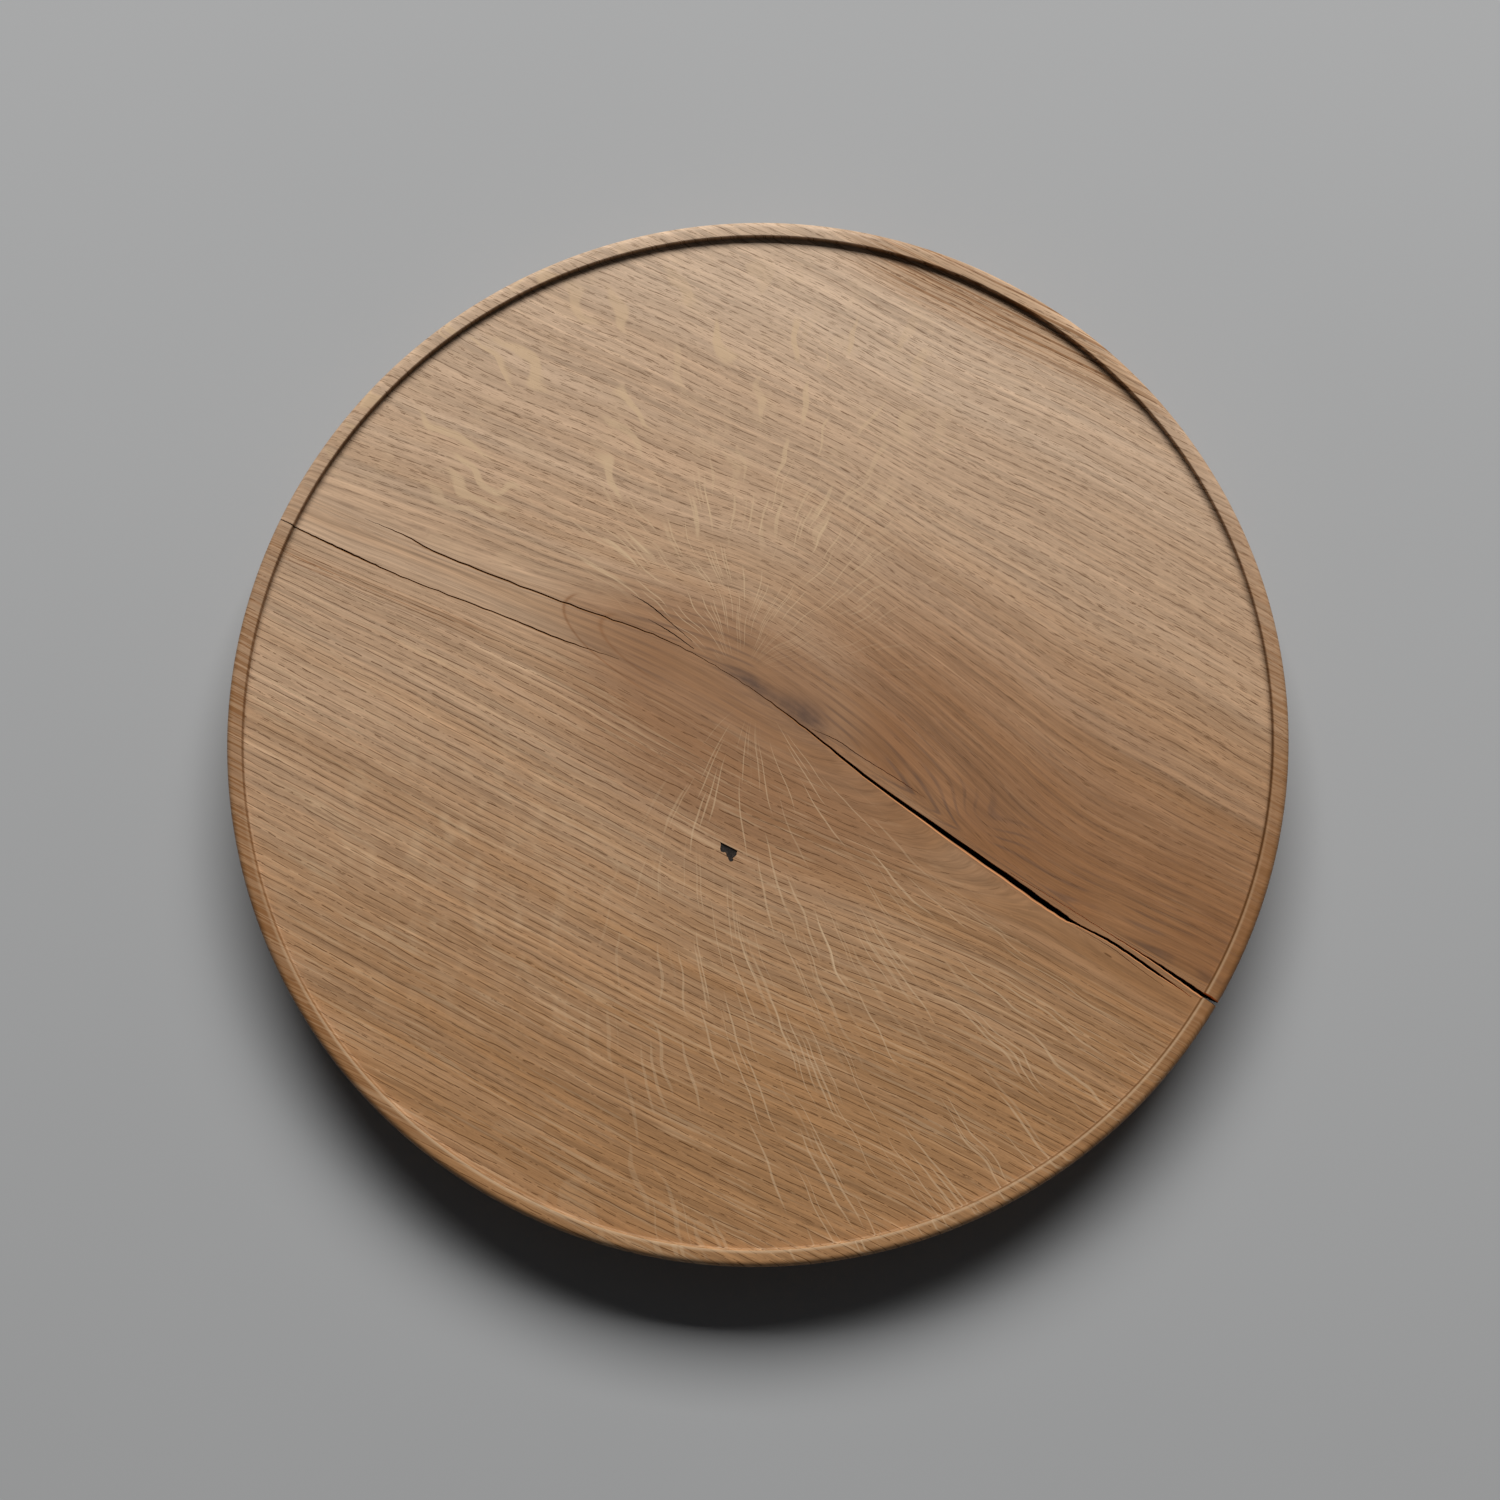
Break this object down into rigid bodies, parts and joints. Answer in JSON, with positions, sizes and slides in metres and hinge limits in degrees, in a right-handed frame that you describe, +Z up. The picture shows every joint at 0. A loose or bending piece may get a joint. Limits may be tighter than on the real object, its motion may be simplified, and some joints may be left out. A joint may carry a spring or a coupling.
{
  "type": "wooden tray",
  "caption": "Round solid oak tray with a low raised rim, an undercut edge for lifting, a natural split tied from below by butterfly keys, and screwed rubber feet.",
  "frame": {"origin": "on the table, under the tray's centre, at the soles of the feet", "axes": "+Z up out of the tray's floor; +X to the right and +Y away from the viewer in the picture"},
  "size_m": [0.4, 0.4, 0.032],
  "materials": {
    "oak": "hand-oiled solid oak, matt, with rays, pores and a brown heart zone",
    "key_oak": "oiled oak, a shade darker, grain along the key",
    "knot_filler": "dark knot filling, rubbed back to a low sheen",
    "foot_rubber": "moulded black rubber, matt",
    "hardware_steel": "zinc-plated steel"
  },
  "bodies": {
    "root": {"tray_body": "oak", "knot_fill": "knot_filler", "split_key_west": "key_oak", "split_key_middle": "key_oak", "split_key_east": "key_oak", "foot_1": "foot_rubber", "foot_2": "foot_rubber", "foot_3": "foot_rubber", "foot_4": "foot_rubber", "foot_washer_1": "hardware_steel", "foot_washer_2": "hardware_steel", "foot_washer_3": "hardware_steel", "foot_washer_4": "hardware_steel", "foot_screw_1": "hardware_steel", "foot_screw_2": "hardware_steel", "foot_screw_3": "hardware_steel", "foot_screw_4": "hardware_steel"}
  },
  "joints": []
}
